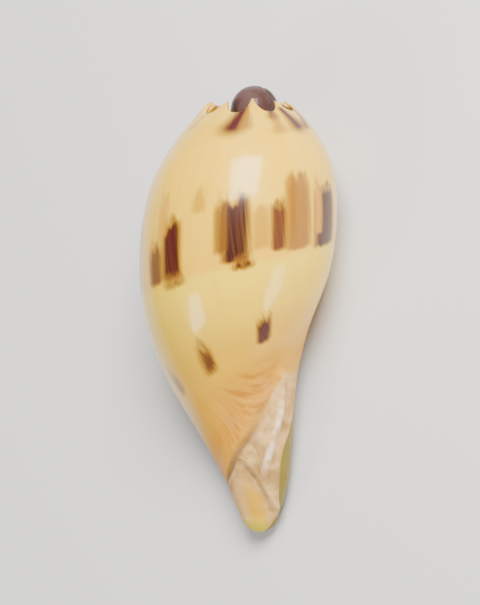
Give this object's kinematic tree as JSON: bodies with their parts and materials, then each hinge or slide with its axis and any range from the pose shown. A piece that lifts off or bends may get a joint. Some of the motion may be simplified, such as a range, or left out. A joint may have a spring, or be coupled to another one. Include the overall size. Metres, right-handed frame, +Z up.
{
  "type": "sea shell",
  "caption": "Crowned baler sea shell: one large egg-shaped whorl with a ring of open spines round a smooth dome, a wide opening and a tapered front end; lies on its opening for display.",
  "frame": {"origin": "centre of the shell's plan at the surface it rests on", "axes": "+Y from the front end towards the spined crown, +X away from the lip, +Z up with the opening down"},
  "size_m": [0.0952, 0.1972, 0.0761],
  "materials": {
    "glazed cream shell": "glossy cream to orange shell with dark blotches in two bands"
  },
  "bodies": {
    "root": {"shell": "glazed cream shell"}
  },
  "joints": []
}
